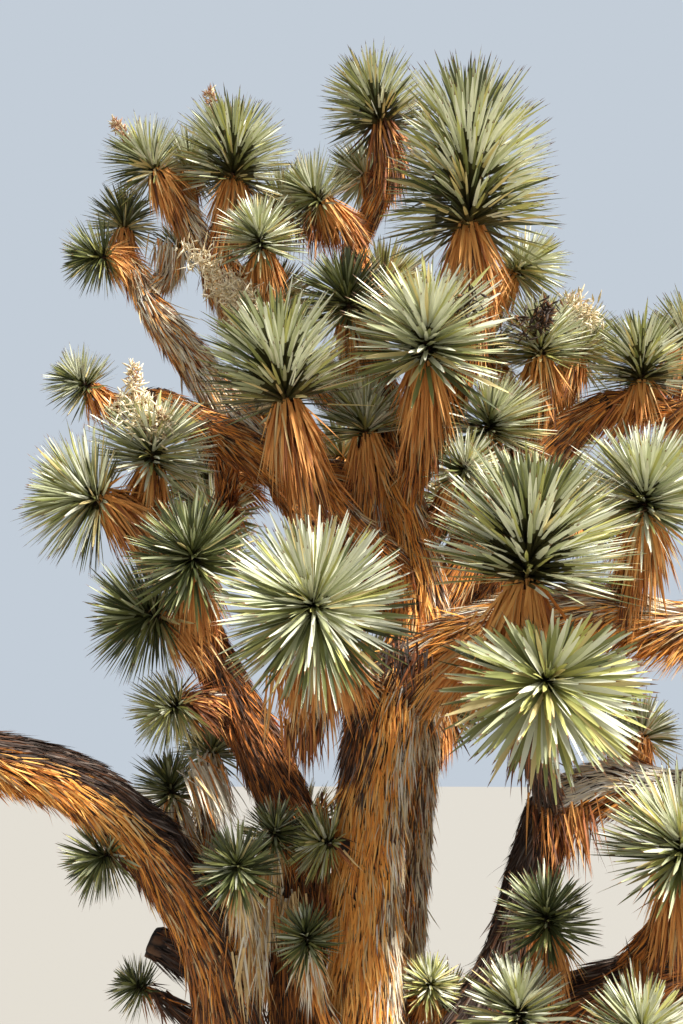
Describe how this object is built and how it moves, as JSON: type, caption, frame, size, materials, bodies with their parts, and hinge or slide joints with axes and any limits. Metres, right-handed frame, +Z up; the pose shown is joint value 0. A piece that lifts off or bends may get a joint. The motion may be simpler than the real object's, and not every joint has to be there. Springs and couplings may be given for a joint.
{
  "type": "joshua tree",
  "caption": "Desert tree on a short flared trunk: thatched stems fork into crooked boughs that end in spiky heads of sword-shaped leaves, some with dry flower stalks.",
  "frame": {"origin": "middle of the flat cut under the trunk, at ground level", "axes": "+Z up along the tree's height; the usual view looks along +Y, with +X to the right"},
  "size_m": [3.4279, 1.8976, 3.9545],
  "materials": {
    "thatch": "matt, fibrous thatch of dead leaves",
    "leaves": "satin, stiff grey-green blades",
    "dead_leaves": "matt, dry orange-brown blades",
    "flowers": "matt, dry papery stalks"
  },
  "bodies": {
    "root": {"trunk": "thatch", "main_stem": "thatch", "rear_stem": "thatch", "left_limb": "thatch", "left_arm": "thatch", "inner_left_limb": "thatch", "left_bough": "thatch", "right_limb": "thatch", "right_arm": "thatch", "low_right_limb": "thatch", "centre_bough": "thatch", "crown_bough": "thatch", "high_bough": "thatch", "top_left_bough": "thatch", "left_middle_bough": "thatch", "left_crown_bough": "thatch", "right_bough": "thatch", "upper_right_bough": "thatch", "back_left_bough": "thatch", "back_right_bough": "thatch", "centre_front_head": "leaves", "right_front_high_head": "leaves", "right_front_low_head": "leaves", "crown_front_right_head": "leaves", "crown_front_left_heads": "leaves", "crown_inner_head": "leaves", "inner_right_heads": "leaves", "high_right_heads": "leaves", "crown_top_heads": "leaves", "crown_rear_head": "leaves", "top_left_inner_heads": "leaves", "top_left_outer_heads": "leaves", "upper_left_front_head": "leaves", "left_crown_heads": "leaves", "left_far_head": "leaves", "left_rear_heads": "leaves", "left_high_heads": "leaves", "left_middle_heads": "leaves", "inner_left_head": "leaves", "grey_limb_heads": "leaves", "left_arm_end_heads": "leaves", "left_under_head": "leaves", "low_left_heads": "leaves", "stem_side_head": "leaves", "stem_front_head": "leaves", "stump_head": "leaves", "low_rear_heads": "leaves", "low_centre_head": "leaves", "right_shaded_head": "leaves", "low_right_heads": "leaves", "low_right_end_heads": "leaves", "right_arm_heads": "leaves", "right_arm_end_heads": "leaves", "right_middle_head": "leaves", "right_bough_end_heads": "leaves", "upper_right_heads": "leaves", "right_crown_heads": "leaves", "back_left_heads": "leaves", "back_right_heads": "leaves", "back_low_heads": "leaves"}
  },
  "joints": []
}
